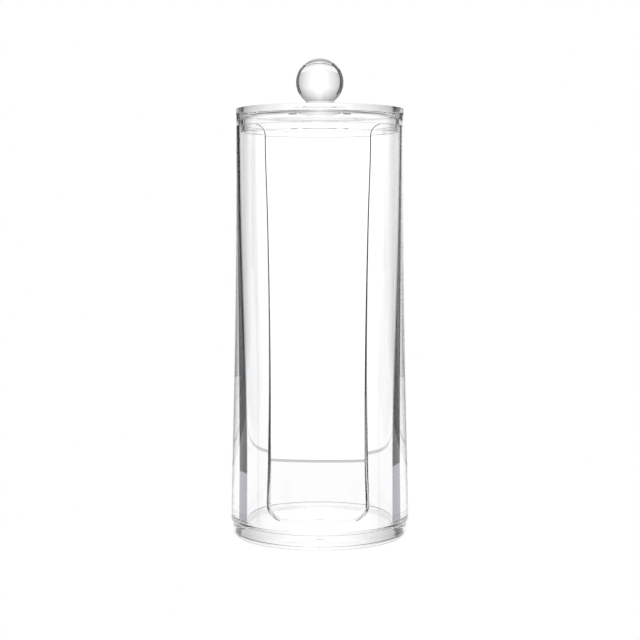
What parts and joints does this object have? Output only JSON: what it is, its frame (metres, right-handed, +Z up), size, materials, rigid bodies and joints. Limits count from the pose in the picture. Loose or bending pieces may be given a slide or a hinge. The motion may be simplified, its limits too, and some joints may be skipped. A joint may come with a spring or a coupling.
{
  "type": "slotted dispenser canister",
  "caption": "Clear round canister, open in front through a tall slot, with a thick base disc and a lift-off lid under a ball knob.",
  "frame": {"origin": "centre of the flat underside of the base disc, on the tube's axis", "axes": "+Z up along the tube's axis, -Y out through the slot, +X to the right as the slot is faced"},
  "size_m": [0.0732, 0.0732, 0.195],
  "materials": {
    "tube_clear": "clear polished acrylic, neutral with a trace of blue-grey",
    "base_clear": "clear polished acrylic, thick disc",
    "lid_clear": "clear polished acrylic",
    "knob_clear": "clear polished acrylic, solid ball"
  },
  "bodies": {
    "case": {"body_tube": "tube_clear", "base_plate": "base_clear"},
    "lid": {"lid": "lid_clear", "lid_knob": "knob_clear"}
  },
  "joints": [
    {"name": "lid_lift", "type": "slide", "parent": "case", "child": "lid", "axis": [0, 0, 1], "range_m": [0, 0.022]}
  ]
}
